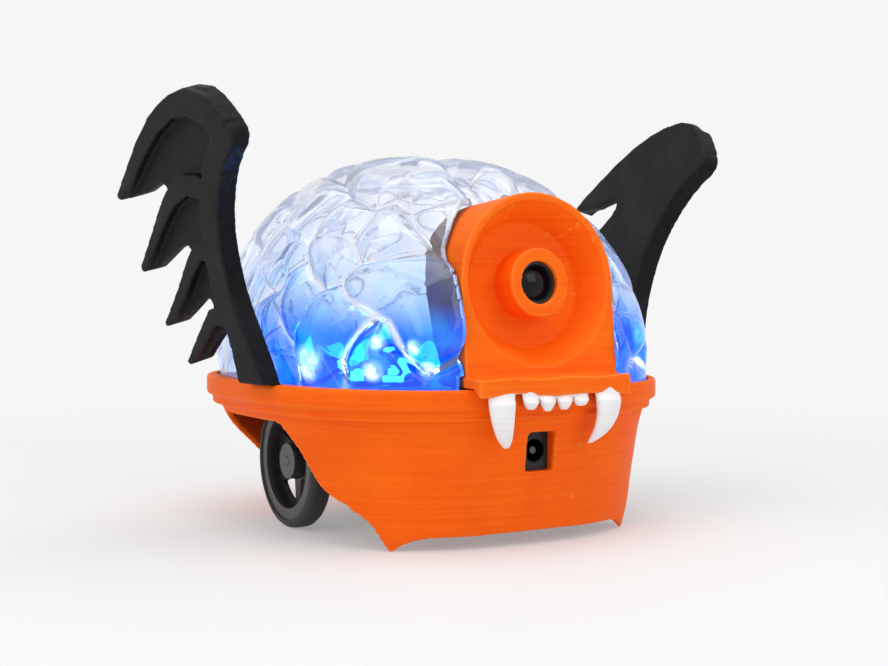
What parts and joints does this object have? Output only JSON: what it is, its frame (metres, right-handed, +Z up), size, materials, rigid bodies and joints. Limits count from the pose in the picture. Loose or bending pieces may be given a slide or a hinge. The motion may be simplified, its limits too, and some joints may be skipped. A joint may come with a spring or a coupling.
{
  "type": "two wheel robot car",
  "caption": "Small two wheel robot car with an orange bowl hull, a clear brain-like dome, a one-eyed mask with fangs and a pair of bat wings.",
  "frame": {"origin": "centre of the object's box at floor level, under the hull", "axes": "+Z up; the car faces -Y; its left side is +X; the wheel axle runs along X"},
  "size_m": [0.1816, 0.1442, 0.1268],
  "materials": {
    "orange_print": "fine layer lines, satin",
    "black_print": "fine layer lines, satin",
    "white_print": "smooth satin",
    "clear_plastic": "clear, glossy, moulded",
    "black_wheel_plastic": "satin",
    "tyre_rubber": "matt",
    "steel": "brushed",
    "brass": "satin",
    "circuit_board": "solder mask, satin",
    "black_moulded": "semi gloss",
    "white_nylon": "satin",
    "battery_sleeve": "heat shrink, glossy",
    "light_package": "white package, clear window",
    "wire_red": "satin",
    "wire_black": "satin",
    "lens_glass": "coated glass",
    "tinned": "bright"
  },
  "bodies": {
    "chassis": {"hull": "orange_print", "eye_mask": "orange_print", "teeth": "white_print", "wing_left": "black_print", "wing_right": "black_print", "deck_plate": "white_print", "motor_can_left": "steel", "motor_can_right": "steel", "motor_end_cap_left": "white_nylon", "motor_end_cap_right": "white_nylon", "gearbox_frame_left": "brass", "gearbox_frame_right": "brass", "motor_bracket_left": "black_print", "motor_bracket_right": "black_print", "motor_terminals": "tinned", "deck_screws": "steel", "bracket_screws": "steel", "board_screws": "steel", "cradle_screws": "steel", "mask_screws": "steel", "ring_screws": "steel", "camera_screws": "steel", "controller_board": "circuit_board", "board_standoffs": "white_nylon", "controller_chips": "black_moulded", "controller_capacitors": "tinned", "usb_socket": "tinned", "header_sockets": "black_moulded", "switch_body": "tinned", "battery_cradle": "black_print", "battery_pack": "battery_sleeve", "jack_body": "black_moulded", "jack_pin": "tinned", "jack_terminals": "tinned", "light_ring_board": "circuit_board", "lights": "light_package", "lens_barrel": "black_moulded", "lens_glass": "lens_glass", "camera_holder": "black_moulded", "camera_board": "circuit_board", "motor_leads": "wire_black", "jack_leads": "wire_red", "light_leads": "wire_red"},
    "dome_cover": {"dome": "clear_plastic"},
    "wheel_left": {"wheel_rim_left": "black_wheel_plastic", "tyre_left": "tyre_rubber", "output_shaft_left": "steel", "output_gear_left": "brass"},
    "wheel_right": {"wheel_rim_right": "black_wheel_plastic", "tyre_right": "tyre_rubber", "output_shaft_right": "steel", "output_gear_right": "brass"},
    "counter_left": {"counter_gear_left": "brass"},
    "counter_right": {"counter_gear_right": "brass"},
    "rotor_left": {"motor_pinion_left": "brass", "motor_rotor_left": "steel"},
    "rotor_right": {"motor_pinion_right": "brass", "motor_rotor_right": "steel"},
    "power_slider": {"switch_slider": "black_moulded"}
  },
  "joints": [
    {"name": "wheel_left_spin", "type": "hinge", "parent": "chassis", "child": "wheel_left", "pos_m": [0.0448, 0.00252, 0.02], "axis": [1, 0, 0], "continuous": true},
    {"name": "wheel_right_spin", "type": "hinge", "parent": "chassis", "child": "wheel_right", "pos_m": [-0.0448, 0.00252, 0.02], "axis": [1, 0, 0], "continuous": true},
    {"name": "counter_left_spin", "type": "hinge", "parent": "chassis", "child": "counter_left", "pos_m": [0.0355, 0.00252, 0.0232], "axis": [1, 0, 0], "continuous": true},
    {"name": "counter_right_spin", "type": "hinge", "parent": "chassis", "child": "counter_right", "pos_m": [-0.0355, 0.00252, 0.0232], "axis": [1, 0, 0], "continuous": true},
    {"name": "rotor_left_spin", "type": "hinge", "parent": "chassis", "child": "rotor_left", "pos_m": [0.025, 0.00252, 0.02], "axis": [1, 0, 0], "continuous": true},
    {"name": "rotor_right_spin", "type": "hinge", "parent": "chassis", "child": "rotor_right", "pos_m": [-0.025, 0.00252, 0.02], "axis": [1, 0, 0], "continuous": true},
    {"name": "dome_lift", "type": "slide", "parent": "chassis", "child": "dome_cover", "axis": [0, 0, 1], "range_m": [0, 0.1]},
    {"name": "power_slide", "type": "slide", "parent": "chassis", "child": "power_slider", "axis": [1, 0, 0], "range_m": [0, 0.003]}
  ],
  "couplings": [
    {"joint": "counter_left_spin", "follows": "wheel_left_spin", "ratio": -3},
    {"joint": "rotor_left_spin", "follows": "wheel_left_spin", "ratio": 9},
    {"joint": "counter_right_spin", "follows": "wheel_right_spin", "ratio": -3},
    {"joint": "rotor_right_spin", "follows": "wheel_right_spin", "ratio": 9}
  ]
}
